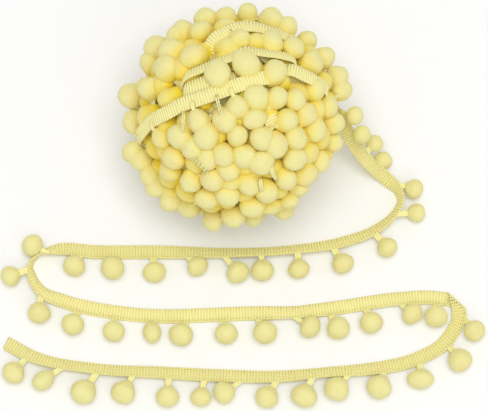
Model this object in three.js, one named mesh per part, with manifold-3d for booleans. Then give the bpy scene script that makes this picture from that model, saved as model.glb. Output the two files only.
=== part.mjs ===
// Pompom fringe trim: a narrow ribbed tape with a soft round pompom hanging from one edge every 16 mm. Most
// of it is wound into a ball, and the last 0.65 m is let out and laid on the table in three runs.
// Millimetres, +Z up. The origin is the middle of the flat spot that the ball rests on.
import * as THREE from "three";
import { ConvexGeometry } from "three/addons/geometries/ConvexGeometry.js";
import { mergeVertices } from "three/addons/utils/BufferGeometryUtils.js";
import Module from "manifold-3d";

// ---- driving sizes ----
const TAPE_WIDTH = 6.2;
const TAPE_THICKNESS = 1;
const EDGE_STRIP = 0.9; // the outermost cords of the tape, which carry the fringe
const PARTING = 0.3; // clear space between neighbouring pieces
const POMPOM = 10; // diameter of a pompom in the ball
const STEM_WIDTH = 2;
const STEM_THICKNESS = 0.9;
const FOLD_RADIUS = 0.9; // of the soft fold where the tape turns back at the right
const FOLD_BEARING = THREE.MathUtils.degToRad(-42.4); // the fold's crease, seen from above
const FOLD_RAMP = 7; // length of tape over which its steps swing round to lie along the crease
const FOLD_STEPS = 8;

const BALL_RADIUS = 48.3; // over the tips of the pompoms
const BALL_HEIGHT = 45.5; // of its middle above the table
const WINDING_RADIUS = 42; // over the wound tape that shows between the pompoms
const BAND_RADIUS = 44.2; // over the last turns of tape, which lie uppermost
const RIM_REACH = 47; // the furthest out that the middle of a pompom stands, seen from the crown
const FLAT_SPOT = 28; // diameter of the pressed underside
const CROWN_TIP = THREE.MathUtils.degToRad(12); // the ball's crown leans this far to the front
const CLOSE_PACKED = 9.2; // least distance between the middles of pompoms on the far side

const up = new THREE.Vector3(0, 0, 1);
const east = new THREE.Vector3(1, 0, 0); // the ball's own axes, seen from over its crown
const north = new THREE.Vector3(0, Math.cos(CROWN_TIP), Math.sin(CROWN_TIP));
const crown = new THREE.Vector3(0, -Math.sin(CROWN_TIP), Math.cos(CROWN_TIP));

// ---- the loose tape: its middle line seen from above, `lift` above lying on the table, and `roll`, which
// is 0 with the fringed edge flat on the left, 90 with it straight up and 180 with it flat on the right ----
const ROUTE_OUT = [
  { x: 42.5, y: 8.0, lift: 31, roll: 78 },
  { x: 47.7, y: -2.0, lift: 24, roll: 30 },
  { x: 56.0, y: -11.3, lift: 13, roll: 5 },
  { x: 66.1, y: -18.0, lift: 0.8, roll: 22 },
  { x: 71.2, y: -23.4, lift: 0, roll: 58 },
  { x: 72.2, y: -27.6, lift: 0, roll: 68 },
  { x: 70.4, y: -32.0, lift: 0, roll: 62 },
  { x: 60.6, y: -41.0, lift: 0, roll: 43 },
  { x: 47.3, y: -46.1, lift: 0, roll: 36 },
  { x: 21.7, y: -50.1, lift: 0, roll: 46 },
  { x: -6.6, y: -51.3, lift: 0, roll: 40 },
  { x: -34.9, y: -50.7, lift: 0, roll: 10 },
  { x: -62.7, y: -50.6, lift: 0, roll: 8 },
  { x: -80.3, y: -49.8, lift: 0, roll: 36 },
  { x: -87.2, y: -52.0, lift: 0, roll: 78 },
  { x: -91.4, y: -57.4, lift: 0, roll: 104 },
  { x: -90.7, y: -61.6, lift: 0, roll: 122 },
  { x: -86.4, y: -68.4, lift: 0, roll: 142 },
  { x: -76.5, y: -72.7, lift: 0, roll: 174 },
  { x: -48.3, y: -78.3, lift: 0, roll: 178 },
  { x: 8.0, y: -78.0, lift: 0, roll: 174 },
  { x: 25.1, y: -77.7, lift: 0, roll: 155 },
  { x: 42.7, y: -75.7, lift: 0, roll: 176 },
  { x: 70.5, y: -71.7, lift: 0, roll: 168 },
  { x: 84.0, y: -71.0, lift: 0, roll: 178 },
  { x: 93.9, y: -71.9, lift: 0, roll: 180 },
];
// The way back from the fold, where the tape has turned over and first lies on its own edge.
const ROUTE_BACK = [
  { x: 96.6, y: -74.4, lift: 1.8, roll: 0 },
  { x: 97.1, y: -77.6, lift: 1.5, roll: 0 },
  { x: 96.6, y: -82.0, lift: 0.2, roll: 2 },
  { x: 94.5, y: -86.0, lift: 0, roll: 4 },
  { x: 89.3, y: -92.4, lift: 0, roll: 8 },
  { x: 78.6, y: -98.2, lift: 0, roll: 14 },
  { x: 56.5, y: -103.0, lift: 0, roll: 26 },
  { x: 42.4, y: -104.1, lift: 0, roll: 40 },
  { x: 14.9, y: -106.3, lift: 0, roll: 30 },
  { x: -6.5, y: -105.8, lift: 0, roll: 22 },
  { x: -34.4, y: -104.4, lift: 0, roll: 28 },
  { x: -62.0, y: -102.8, lift: 0, roll: 38 },
  { x: -90.1, y: -97.2, lift: 0, roll: 28 },
  { x: -101.8, y: -91.2, lift: 0, roll: 0 },
];

// ---- the loose fringe, a row for each stretch: `from`, `to` and the root of the `first` pompom are measured
// along the tape from the ball, and the next roots follow at `pitch`. The middle of each pompom is `ahead` of
// its root along the tape and `left` of it. `hangs` is its height where it isn't on the table ----
const FRINGE = [
  {
    name: "fringe_from_ball", from: 2, to: 88, first: 4, pitch: 12.6,
    ahead: [5, 3.5, 0, 0, 5, -5.5, -1.5],
    left: [4.5, 3.5, 7.5, 5.5, 5.5, 7.5, 9.5],
    size: [8.4, 8, 8.2, 8.2, 9, 8.5, 9.4],
    hangs: [37, 31, 14],
  },
  {
    name: "fringe_run_1", from: 88.3, to: 214, first: 98.5, pitch: 15.9,
    ahead: [-2, 0.5, 0, -5, -3.5, -0.5, 2, 2],
    left: [9.5, 9, 8.5, 9, 6.5, 9.5, 7.5, 7],
    size: [10.1, 9.7, 10.2, 10.2, 10.2, 9.9, 10.8, 10.4],
    hangs: [],
  },
  {
    name: "fringe_left_turn", from: 214.3, to: 257, first: 227, pitch: 13.4,
    ahead: [3, -3.5, -3],
    left: [-5.5, -8.5, -8.5],
    size: [10.2, 9.3, 10],
    hangs: [],
  },
  {
    name: "fringe_run_2", from: 257.3, to: 427.5, first: 266, pitch: 15.8,
    ahead: [-0.5, 0.5, 1, -2.5, 1, 2.5, 6, 2, 0.5, 3.5, 0],
    left: [-9, -9, -8, -9, -9, -9, -6, -9.5, -9, -8, -9],
    size: [10.4, 10, 9, 10.6, 10.4, 10.8, 11, 10.3, 10.3, 9.6, 10.5],
    hangs: [],
  },
  {
    name: "fringe_right_turn", from: 427.8, to: 461, first: 441, pitch: 13,
    ahead: [5, 1.5],
    left: [7.5, 10.5],
    size: [9.8, 10.8],
    hangs: [],
  },
  {
    name: "fringe_run_3", from: 461.3, to: 651, first: 468, pitch: 15.75,
    ahead: [3, 3.5, 5.5, 4.5, 4.5, 6.5, 0.5, 0, 3, 4, 5.5, 1.5],
    left: [8, 8.5, 8, 9.5, 9, 7.5, 10, 10.5, 9.5, 11, 8.5, 10],
    size: [10.4, 11.2, 11.2, 11.2, 10.6, 10.2, 9.2, 10.2, 11, 11.4, 10, 10.2],
    hangs: [],
  },
];

// ---- the outer turns of fringe on the ball, a row for each run of pompoms, seen from over the crown ----
const BALL_FRINGE = [
  {
    run: "back rim",
    east: [42.1, 37, 29.8, 20.8, 14, 4.3, -5.1, -13.6, -23, -26.1, -34.9],
    north: [16.6, 25.1, 32.3, 37.4, 40.4, 44.2, 42.5, 40.8, 36.1, 33.7, 29.3],
  },
  {
    run: "left rim",
    east: [-37.4, -37.8, -45.5, -44.2, -46.3, -41.7, -36.6, -34.9, -30.6, -20.8],
    north: [23, 11.9, 8.5, -2.6, -16.2, -19.1, -25.1, -30.2, -38.3, -38.7],
  },
  {
    run: "front and right rim",
    east: [-10.2, -1.7, 7.2, 19.6, 26.4, 34.9, 40.8, 41.2, 43.8],
    north: [-43.8, -42.1, -43.4, -39.1, -30.6, -19.1, -11.1, -3, 11.1],
  },
  { run: "under the back band", east: [-15.7, 1.3, 14, 23.4, 31.9], north: [36.1, 34.4, 33.6, 30.2, 23.8] },
  {
    run: "round the middle band",
    east: [-28.1, -30.2, -18.9, -8.5, 3.8, 16.2],
    north: [28.1, 21.7, 25.9, 18.7, 22.5, 20],
  },
  {
    run: "under the front band",
    east: [-32.7, -24.7, -16.6, -5.5, 0, 8.1, 17, 24.7, 33.2],
    north: [-9.8, -8.9, -2.1, -1.7, 3.8, 7.7, 7.7, 7.2, 11.1],
  },
  {
    run: "second below the band",
    east: [-13.2, 0, 7.2, 21.3, 29.3, 38.7],
    north: [-8.5, -8.5, -1.3, -2.1, 0.9, 4.3],
  },
  {
    run: "third below the band",
    east: [-18.7, 10.2, 16.2, 24.7, 33.6],
    north: [-13.6, -9.4, -12.3, -9.4, -5.1],
  },
  {
    run: "fourth below the band",
    east: [-27.6, -12.8, -6, 3, 10.2, 24.2],
    north: [-17.9, -17.9, -16.6, -17.4, -19.6, -17.9],
  },
  {
    run: "fifth below the band",
    east: [-29.3, -20, -10.6, -4.3, 4.7, 20.4, 28.9],
    north: [-23.8, -27.6, -26.8, -23, -28.9, -26.4, -24.7],
  },
  {
    run: "lowest in front",
    east: [-28.9, -12.8, -4.3, 6.4, 12.3, 21.7, 14],
    north: [-32.3, -34.4, -33.2, -38.3, -31.9, -35.3, -38.7],
  },
];

// ---- the last turns of tape, which lie over the others with no pompoms on top. The first rows are seen from
// over the crown, and the others go round the sides by bearing and by rise above the rim, in degrees ----
const BANDS = [
  bandSeen([-40.4, -31, -21.7, -8.5, 11.1, 17.9, 31, 37.8], [-7.7, 0.4, 5.5, 11.1, 17, 17.4, 14.5, 11.1]),
  bandSeen([-28.9, -25.9, -16.6, -0.9, 14, 25.9], [11.1, 16.6, 20.8, 27.6, 27.6, 24.7]),
  bandSeen([-15.3, -6, 4.7, 15.3, 25.9], [29.3, 34.9, 38.3, 37.4, 33.6]),
  bandSeen([20.8, 28.9, 38.3], [25.5, 18.3, 12.8]),
  bandRound([52, 76, 100, 126], [-22, -12, -14, -26]),
  bandRound([196, 216, 238, 262], [-8, -20, -26, -24]),
  bandRound([318, 338, 358, 18], [-30, -18, -14, -20]),
];

// ---- solids from meshes, and back ----
const wasm = await Module();
wasm.setup();

function solidFrom(geometry) {
  geometry.deleteAttribute("normal");
  geometry.deleteAttribute("uv");
  const merged = mergeVertices(geometry, 1e-5);
  return new wasm.Manifold(new wasm.Mesh({
    numProp: 3,
    vertProperties: new Float32Array(merged.attributes.position.array),
    triVerts: new Uint32Array(merged.index.array),
  }));
}

function meshFrom(solid, name) {
  const { vertProperties, triVerts } = solid.getMesh();
  const geometry = new THREE.BufferGeometry();
  geometry.setAttribute("position", new THREE.BufferAttribute(vertProperties, 3));
  geometry.setIndex(new THREE.BufferAttribute(triVerts, 1));
  geometry.computeVertexNormals();
  const material = new THREE.MeshStandardMaterial({ color: 0xf0e594, roughness: 0.95, metalness: 0 });
  const mesh = new THREE.Mesh(geometry, material);
  mesh.name = name;
  return mesh;
}

// A skin round rings that each have four corners, with a cap at both ends.
function skin(rings) {
  const index = [];
  for (let i = 0; i + 1 < rings.length; i += 1) {
    for (let j = 0; j < 4; j += 1) {
      const a = 4 * i + j;
      const b = 4 * i + (j + 1) % 4;
      index.push(a, b, b + 4, a, b + 4, a + 4);
    }
  }
  const last = 4 * (rings.length - 1);
  index.push(0, 2, 1, 0, 3, 2, last, last + 1, last + 2, last, last + 2, last + 3);
  const geometry = new THREE.BufferGeometry().setFromPoints(rings.flat());
  geometry.setIndex(index);
  return solidFrom(geometry);
}

// ---- the loose tape ----
const COLUMNS = ["x", "y", "lift", "roll"];
const SAMPLE = 0.5; // spacing of the places worked out along the tape

// A smooth run through the rows of a route, whose slope at each row leans to its nearer neighbour.
function smoothRun(rows) {
  const along = [0];
  for (let i = 1; i < rows.length; i += 1) {
    const [a, b] = [rows[i - 1], rows[i]];
    along.push(along[i - 1] + Math.hypot(b.x - a.x, b.y - a.y, b.lift - a.lift));
  }
  const rise = (i, column) => (rows[i + 1][column] - rows[i][column]) / (along[i + 1] - along[i]);
  const slope = (i, column) => {
    if (i === 0) return rise(0, column);
    if (i === rows.length - 1) return rise(i - 1, column);
    const before = along[i] - along[i - 1];
    const after = along[i + 1] - along[i];
    return (rise(i - 1, column) * after + rise(i, column) * before) / (before + after);
  };
  const count = Math.round(along.at(-1) / SAMPLE);
  const run = [];
  for (let k = 0, i = 0; k <= count; k += 1) {
    const distance = along.at(-1) * k / count;
    while (i < rows.length - 2 && along[i + 1] <= distance) i += 1;
    const span = along[i + 1] - along[i];
    const t = (distance - along[i]) / span;
    const place = {};
    for (const column of COLUMNS) {
      place[column] = (1 + 2 * t) * (1 - t) ** 2 * rows[i][column] + t * (1 - t) ** 2 * span * slope(i, column)
        + t * t * (3 - 2 * t) * rows[i + 1][column] + t * t * (t - 1) * span * slope(i + 1, column);
    }
    run.push(place);
  }
  return run;
}

// Places of the tape: its middle, its heading, `cross` towards the fringed edge and `face` out of the cloth.
function places(run) {
  const middles = run.map(({ x, y, lift, roll }) => {
    const angle = THREE.MathUtils.degToRad(roll);
    const half = (TAPE_WIDTH * Math.abs(Math.sin(angle)) + TAPE_THICKNESS * Math.abs(Math.cos(angle))) / 2;
    return new THREE.Vector3(x, y, Math.max(lift, 0) + half);
  });
  return middles.map((middle, i) => {
    const before = middles[Math.max(i - 1, 0)];
    const after = middles[Math.min(i + 1, middles.length - 1)];
    const heading = after.clone().sub(before).normalize();
    const left = up.clone().cross(heading).normalize();
    const top = heading.clone().cross(left);
    const angle = THREE.MathUtils.degToRad(run[i].roll);
    const cross = left.clone().multiplyScalar(Math.cos(angle)).addScaledVector(top, Math.sin(angle));
    const face = top.clone().multiplyScalar(Math.cos(angle)).addScaledVector(left, -Math.sin(angle));
    return { middle, heading, cross, face };
  });
}

// The fold rolls the tape over its crease, and `cross` there runs along the crease.
const crease = new THREE.Vector3(Math.cos(FOLD_BEARING), Math.sin(FOLD_BEARING), 0);
const acrossCrease = up.clone().cross(crease);

function foldAfter(last) {
  const angleToCrease = Math.acos(last.heading.dot(crease));
  const fold = [];
  for (let k = 1; k < FOLD_STEPS; k += 1) {
    const turn = Math.PI * k / FOLD_STEPS;
    const turned = (v) => v.clone().applyAxisAngle(crease, -turn);
    const middle = last.middle.clone()
      .addScaledVector(crease, FOLD_RADIUS * turn / Math.tan(angleToCrease))
      .addScaledVector(acrossCrease, FOLD_RADIUS * Math.sin(turn))
      .addScaledVector(up, FOLD_RADIUS * (1 - Math.cos(turn)));
    const cross = crease.clone().divideScalar(crease.dot(turned(last.cross)));
    fold.push({ middle, heading: turned(last.heading), cross, face: turned(last.face) });
  }
  return fold;
}

// Near the fold the steps swing round from square across the tape to lie along the crease.
function swingToCrease(run) {
  let distance = 0;
  for (let i = 0; i < run.length && distance < FOLD_RAMP; i += 1) {
    if (i > 0) distance += run[i].middle.distanceTo(run[i - 1].middle);
    const share = THREE.MathUtils.smoothstep(1 - distance / FOLD_RAMP, 0, 1);
    const full = crease.clone().divideScalar(crease.dot(run[i].cross));
    run[i].cross.lerp(full, share);
  }
}

const outward = places(smoothRun(ROUTE_OUT));
const back = places(smoothRun(ROUTE_BACK));
const fold = foldAfter(outward.at(-1));
swingToCrease([...outward].reverse());
swingToCrease(back);
const ribbon = [...outward, ...fold, ...back];
ribbon.forEach((place, i) => {
  place.at = i === 0 ? 0 : ribbon[i - 1].at + place.middle.distanceTo(ribbon[i - 1].middle);
});

function placeAt(distance) {
  let i = 0;
  while (i < ribbon.length - 2 && ribbon[i + 1].at <= distance) i += 1;
  const [a, b] = [ribbon[i], ribbon[i + 1]];
  const t = THREE.MathUtils.clamp((distance - a.at) / (b.at - a.at), 0, 1);
  const blend = (key) => a[key].clone().lerp(b[key], t);
  return { middle: blend("middle"), heading: blend("heading"), cross: blend("cross"), face: blend("face") };
}

// Steps of the solids: a new one wherever the tape has bent, rolled or run far enough since the last.
const STEP_BEND = Math.cos(THREE.MathUtils.degToRad(14.5));
const STEP_LENGTH = 18;
const steps = [0];
for (let i = 1, last = ribbon[0]; i < ribbon.length - 1; i += 1) {
  const place = ribbon[i];
  const crossTurn = place.cross.clone().normalize().dot(last.cross.clone().normalize());
  const bent = Math.min(place.heading.dot(last.heading), crossTurn) < STEP_BEND;
  if (bent || place.at - last.at > STEP_LENGTH) {
    steps.push(place.at);
    last = place;
  }
}
steps.push(ribbon.at(-1).at);

// A strip of the tape between two lines along it, measured across from its middle.
function stripSolid(from, to, inner, outer, grown = 0) {
  const inside = steps.filter((at) => at > from + SAMPLE && at < to - SAMPLE);
  const half = TAPE_THICKNESS / 2 + grown;
  return skin([from, ...inside, to].map((at) => {
    const { middle, cross, face } = placeAt(at);
    const corner = (w, n) => middle.clone().addScaledVector(cross, w).addScaledVector(face, n);
    return [
      corner(inner - grown, -half), corner(outer + grown, -half), corner(outer + grown, half),
      corner(inner - grown, half),
    ];
  }));
}

// ---- the fringe ----
const EDGE = TAPE_WIDTH / 2;
const STRIP_INSIDE = EDGE - EDGE_STRIP;
const STRIP_MIDDLE = EDGE - EDGE_STRIP / 2;
const POINT_DOWN = Math.atan(2 / (1 + Math.sqrt(5))); // turns a corner of the icosahedron straight down

function pompomSolid(middle, radius) {
  const geometry = new THREE.IcosahedronGeometry(radius, 1);
  geometry.rotateX(POINT_DOWN);
  geometry.translate(middle.x, middle.y, middle.z);
  return solidFrom(geometry);
}

function stemSolid(root, heading, end, grown) {
  const axis = end.clone().sub(root).normalize();
  const wide = heading.clone().addScaledVector(axis, -heading.dot(axis)).normalize();
  const deep = axis.clone().cross(wide);
  return skin([root, end].map((point) => {
    const corner = (w, n) => point.clone()
      .addScaledVector(wide, w * (STEM_WIDTH / 2 + grown))
      .addScaledVector(deep, n * (STEM_THICKNESS / 2 + grown));
    return [corner(-1, -1), corner(1, -1), corner(1, 1), corner(-1, 1)];
  }));
}

// An edge strip with its stems and pompoms, joined into one solid.
function fringeSolid(row, grown = 0) {
  let solid = stripSolid(row.from, row.to, STRIP_INSIDE, EDGE, grown);
  row.size.forEach((size, k) => {
    const { middle, heading, cross } = placeAt(row.first + row.pitch * k);
    const onTable = heading.clone().setZ(0).normalize();
    const left = up.clone().cross(onTable);
    const hung = middle.clone().addScaledVector(onTable, row.ahead[k]).addScaledVector(left, row.left[k]);
    hung.z = row.hangs[k] ?? size / 2;
    const root = middle.clone().addScaledVector(cross, STRIP_MIDDLE);
    solid = solid.add(stemSolid(root, heading, hung, grown)).add(pompomSolid(hung, size / 2 + grown));
  });
  return solid;
}

// ---- the ball ----
const ballMiddle = up.clone().multiplyScalar(BALL_HEIGHT);
const SHELL = BALL_RADIUS - POMPOM / 2; // where the middles of its pompoms lie
const GOLDEN_TURN = Math.PI * (3 - Math.sqrt(5));

function fromCrown(x, y, radius) {
  const out = Math.hypot(x, y);
  const kept = Math.min(1, RIM_REACH / out);
  const height = Math.sqrt(Math.max(radius ** 2 - out ** 2, 0));
  return new THREE.Vector3().addScaledVector(east, x * kept).addScaledVector(north, y * kept)
    .addScaledVector(crown, height);
}

function roundTheRim(bearing, rise) {
  const [turn, lift] = [bearing, rise].map(THREE.MathUtils.degToRad);
  return new THREE.Vector3().addScaledVector(east, Math.cos(turn) * Math.cos(lift))
    .addScaledVector(north, Math.sin(turn) * Math.cos(lift)).addScaledVector(crown, Math.sin(lift));
}

function bandSeen(xs, ys) {
  return new THREE.CatmullRomCurve3(xs.map((x, i) => fromCrown(x, ys[i], BAND_RADIUS)));
}

function bandRound(bearings, rises) {
  return new THREE.CatmullRomCurve3(bearings.map((bearing, i) => (
    roundTheRim(bearing, rises[i]).multiplyScalar(BAND_RADIUS))));
}

function evenDirections(count) {
  return Array.from({ length: count }, (unused, i) => {
    const z = 1 - (2 * i + 1) / count;
    const turn = GOLDEN_TURN * i;
    const out = Math.sqrt(1 - z * z);
    return new THREE.Vector3(out * Math.cos(turn), out * Math.sin(turn), z);
  });
}

// Middles of the outer pompoms, from the ball's middle: the runs above, and an even cover on the far side
// that leaves the bands and the way out of the loose tape open.
const BAND_STEP = 3.2;
const FAR_SIDE = 6; // how far above the rim the even cover reaches
const SPARE_PLACES = 6000;
const BAND_CLEARANCE = 7;

const bandLines = BANDS.map((band) => (
  band.getSpacedPoints(Math.round(band.getLength() / BAND_STEP)).map((point) => point.setLength(BAND_RADIUS))));
const WAY_OUT = [0, 6, 12]; // places along the loose tape where it leaves the ball
const wayOut = WAY_OUT.map((at) => placeAt(at).middle.sub(ballMiddle));

function nearest(point, others) {
  return Math.min(...others.map((other) => other.distanceTo(point)));
}

function outerPompoms() {
  const middles = BALL_FRINGE.flatMap((row) => row.east.map((x, i) => fromCrown(x, row.north[i], SHELL)));
  const keepOff = [...bandLines.flat(), ...wayOut];
  const heightOf = (point) => point.dot(crown);
  evenDirections(SPARE_PLACES)
    .map((direction) => direction.multiplyScalar(SHELL))
    .filter((point) => heightOf(point) < FAR_SIDE && nearest(point, keepOff) > BAND_CLEARANCE)
    .sort((a, b) => heightOf(b) - heightOf(a))
    .forEach((point) => {
      if (nearest(point, middles) > CLOSE_PACKED) middles.push(point);
    });
  return middles;
}

const middles = outerPompoms();

// Directions of the surface's corners, best first: both edges of each band, the tip and a ring on each
// pompom, and an even cover of the gaps between them.
const EDGE_SLOPE = 0.8;
const TIP_RING = 3.4;
const RING_SIDES = 6;
const EVEN_COVER = 4200;
const LEAST_GAP = { band: 0.7, pompom: 1.3, cover: 1.9 };

function surfaceDirections() {
  const kept = [];
  const keep = (point, gap) => {
    const direction = point.clone().normalize();
    if (kept.every((other) => other.distanceTo(direction) * SHELL > gap)) kept.push(direction);
  };
  bandLines.forEach((line) => line.forEach((point, i) => {
    const run = line[Math.min(i + 1, line.length - 1)].clone().sub(line[Math.max(i - 1, 0)]);
    const across = run.cross(point).normalize();
    [EDGE, EDGE + EDGE_SLOPE].forEach((w) => {
      keep(point.clone().addScaledVector(across, w), LEAST_GAP.band);
      keep(point.clone().addScaledVector(across, -w), LEAST_GAP.band);
    });
  }));
  middles.forEach((middle) => keep(middle, LEAST_GAP.pompom));
  middles.forEach((middle) => {
    const aside = middle.clone().cross(up).normalize();
    for (let k = 0; k < RING_SIDES; k += 1) {
      const turned = aside.clone().applyAxisAngle(middle.clone().normalize(), 2 * Math.PI * k / RING_SIDES);
      keep(middle.clone().addScaledVector(turned, TIP_RING), LEAST_GAP.pompom);
    }
  });
  evenDirections(EVEN_COVER).forEach((direction) => keep(direction, LEAST_GAP.cover));
  return kept;
}

const FLAT_CUT = 0.6; // the underside is made this much too low, then cut level
const flatDown = Math.cos(Math.asin(FLAT_SPOT / 2 / BALL_HEIGHT));
const bandPoints = bandLines.flat();

function reachAlong(direction) {
  const onBand = nearest(direction.clone().multiplyScalar(BAND_RADIUS), bandPoints) < EDGE + BAND_STEP / 6;
  let reach = onBand ? BAND_RADIUS : WINDING_RADIUS;
  middles.forEach((middle) => {
    const along = direction.dot(middle);
    const square = along ** 2 - middle.lengthSq() + (POMPOM / 2) ** 2;
    if (along > 0 && square > 0) reach = Math.max(reach, along + Math.sqrt(square));
  });
  const down = -direction.z;
  return down > flatDown ? Math.max(reach, (BALL_HEIGHT + FLAT_CUT) / down) : reach;
}

const NEAR_BALL = 24; // length of loose tape that lies against the ball

function ballSolid() {
  const geometry = new ConvexGeometry(surfaceDirections());
  const position = geometry.attributes.position;
  const point = new THREE.Vector3();
  for (let i = 0; i < position.count; i += 1) {
    point.fromBufferAttribute(position, i).normalize();
    point.multiplyScalar(reachAlong(point)).add(ballMiddle);
    position.setXYZ(i, point.x, point.y, point.z);
  }
  const below = new THREE.BoxGeometry(4 * BALL_RADIUS, 4 * BALL_RADIUS, BALL_RADIUS);
  below.translate(0, 0, -BALL_RADIUS / 2);
  const tapeRoom = stripSolid(0, NEAR_BALL, -EDGE, EDGE, PARTING);
  return solidFrom(geometry).subtract(solidFrom(below)).subtract(tapeRoom)
    .subtract(fringeSolid(FRINGE[0], PARTING));
}

// ---- the trim ----
const trim = new THREE.Group();
trim.add(meshFrom(ballSolid(), "ball"));
trim.add(meshFrom(stripSolid(0, ribbon.at(-1).at, -EDGE, STRIP_INSIDE - PARTING), "tape"));
FRINGE.forEach((row) => trim.add(meshFrom(fringeSolid(row), row.name)));

export default trim;
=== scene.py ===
# Pompom fringe trim, dressed: a ball of ribbed tape with soft pompoms, its loose end laid out in three runs.
import math
import random

import bpy
import numpy as np
from mathutils import Matrix, Vector


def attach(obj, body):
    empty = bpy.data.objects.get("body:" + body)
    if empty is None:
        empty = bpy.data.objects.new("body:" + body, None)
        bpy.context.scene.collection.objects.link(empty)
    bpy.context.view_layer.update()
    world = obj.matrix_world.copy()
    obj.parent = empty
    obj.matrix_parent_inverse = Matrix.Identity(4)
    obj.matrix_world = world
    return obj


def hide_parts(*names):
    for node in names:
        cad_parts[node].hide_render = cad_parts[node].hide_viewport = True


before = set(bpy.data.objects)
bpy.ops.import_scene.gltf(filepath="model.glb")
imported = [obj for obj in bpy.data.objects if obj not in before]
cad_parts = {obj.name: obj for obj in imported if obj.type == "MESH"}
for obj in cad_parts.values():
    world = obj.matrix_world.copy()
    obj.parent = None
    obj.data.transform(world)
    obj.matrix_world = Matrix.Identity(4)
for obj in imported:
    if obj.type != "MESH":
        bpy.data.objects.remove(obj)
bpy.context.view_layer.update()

# ---- The table, the light and the camera ---------------------------------------------------------
# A pale table top under one broad soft light near the camera and an even white room, seen from almost
# straight above, leaning back a little towards the ball.
CAMERA_AIM = Vector((0.0027, -0.0294, 0.0))
CAMERA_RISE = math.radians(78)
CAMERA_DISTANCE = 1.1
CAMERA_LENS = 182.8
TABLE_COLOUR = (0.93, 0.93, 0.935, 1)
TABLE_GRAIN = 0.99  # its darker grains, as a share of its colour
TABLE_SIZE = 6.0
ROOM_LIGHT = 0.58
LAMPS = (
    {"name": "overhead_light", "place": (0.12, -0.2, 3.2), "size": 1.8, "watts": 50.0},
    {"name": "front_light", "place": (0.5, -1.2, 1.3), "size": 1.2, "watts": 2.5},
)


def fill(tree, node, inputs):
    """Links or sets a node's inputs."""
    for key, value in inputs.items():
        if isinstance(value, bpy.types.NodeSocket):
            tree.links.new(value, node.inputs[key])
        else:
            node.inputs[key].default_value = value


def add(tree, kind, inputs=None, **settings):
    """Adds a node with its settings, and links or sets its inputs."""
    made = tree.nodes.new(kind)
    for name, value in settings.items():
        setattr(made, name, value)
    fill(tree, made, inputs or {})
    return made


def result(tree, kind, inputs=None, **settings):
    """Adds a node and gives its first output."""
    return add(tree, kind, inputs, **settings).outputs[0]


def blend(tree, share, one, other, **settings):
    """One colour blended into another."""
    return add(tree, "ShaderNodeMix", {
        "Factor": share, 6: one, 7: other,
    }, data_type="RGBA", **settings).outputs[2]


def empty_material(name):
    material = bpy.data.materials.new(name)
    material.use_nodes = True
    material.node_tree.nodes.clear()
    return material


def put_out(material, inputs):
    """Ends a material with a plain shader of these inputs."""
    shader = result(material.node_tree, "ShaderNodeBsdfPrincipled", inputs)
    add(material.node_tree, "ShaderNodeOutputMaterial", {"Surface": shader})
    return material


def table_finish():
    material = empty_material("table_finish")
    tree = material.node_tree
    grain = result(tree, "ShaderNodeTexNoise", {"Scale": 40.0})
    darker = tuple(TABLE_GRAIN * c for c in TABLE_COLOUR[:3]) + (1,)
    colour = blend(tree, grain, TABLE_COLOUR, darker)
    return put_out(material, {"Base Color": colour, "Roughness": 0.8})


def aim(thing, target):
    thing.rotation_euler = (Vector(target) - thing.location).to_track_quat("-Z", "Y").to_euler()


scene = bpy.context.scene
scene.view_settings.view_transform = "Standard"
camera = bpy.data.objects.new("camera", bpy.data.cameras.new("camera"))
camera.data.lens = CAMERA_LENS
camera.data.clip_end = 20
camera.location = CAMERA_AIM + CAMERA_DISTANCE * Vector((0, -math.cos(CAMERA_RISE), math.sin(CAMERA_RISE)))
aim(camera, CAMERA_AIM)
scene.collection.objects.link(camera)
scene.camera = camera

for row in LAMPS:
    lamp = bpy.data.objects.new(row["name"], bpy.data.lights.new(row["name"], "AREA"))
    lamp.data.size = row["size"]
    lamp.data.energy = row["watts"]
    lamp.location = row["place"]
    aim(lamp, (0, 0, 0))
    scene.collection.objects.link(lamp)

room = bpy.data.worlds.new("room")
room.use_nodes = True
room.node_tree.nodes["Background"].inputs["Color"].default_value = (1, 1, 1, 1)
room.node_tree.nodes["Background"].inputs["Strength"].default_value = ROOM_LIGHT
scene.world = room


def mesh_object(name, verts, faces, material, smooth=True):
    """A plain object at the origin from an array of points and a list of faces."""
    mesh = bpy.data.meshes.new(name)
    mesh.from_pydata([tuple(v) for v in verts], [], [tuple(f) for f in faces])
    mesh.materials.append(material)
    if smooth:
        mesh.shade_smooth()
    made = bpy.data.objects.new(name, mesh)
    scene.collection.objects.link(made)
    return made


half = TABLE_SIZE / 2
table = mesh_object("table", [(-half, -half, 0), (half, -half, 0), (half, half, 0), (-half, half, 0)],
                    [(0, 1, 2, 3)], table_finish(), smooth=False)

# ---- The loose tape ------------------------------------------------------------------------------
# A narrow tape woven with thick cross ribs, which both faces show, and with rows of chain stitch along one
# face only. It comes off the ball, rolls over at the left turn and folds back on itself at the right.
MM = 1000  # in a metre: the tables are in millimetres and the rest in metres
TAPE_WIDTH = 0.0062
TAPE_THICKNESS = 0.001
EDGE_STRIP = 0.0009  # the outermost cords, which carry the fringe
STRIP_INSIDE = TAPE_WIDTH / 2 - EDGE_STRIP
PARTING = 0.00004  # between the tape and its edge strip
CLOTH_HALF = 0.00022  # half the thickness of the cloth between ribs
RIB_PITCH = 0.0013
RIB_HALF = 0.00049  # half a rib's width along the tape
RIB_END = ((0.0, 0.45), (0.00012, 0.8), (0.0004, 1.0))  # its rounded end: distance in, share of full size
RIB_SIDES = 8
PLAIN_RIB_SIDES = 6
RINGS_BETWEEN = 3  # more rings along a rib, between its ends
NARROW = 0.002  # a rib no longer than this has none of them
RIB_UNEVEN = 0.05
WALES = (-0.00265, -0.00177, -0.00089, -0.00001, 0.00087, 0.00175)  # rows of chain stitch, from the middle
EDGE_WALE = 0.00263
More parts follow.
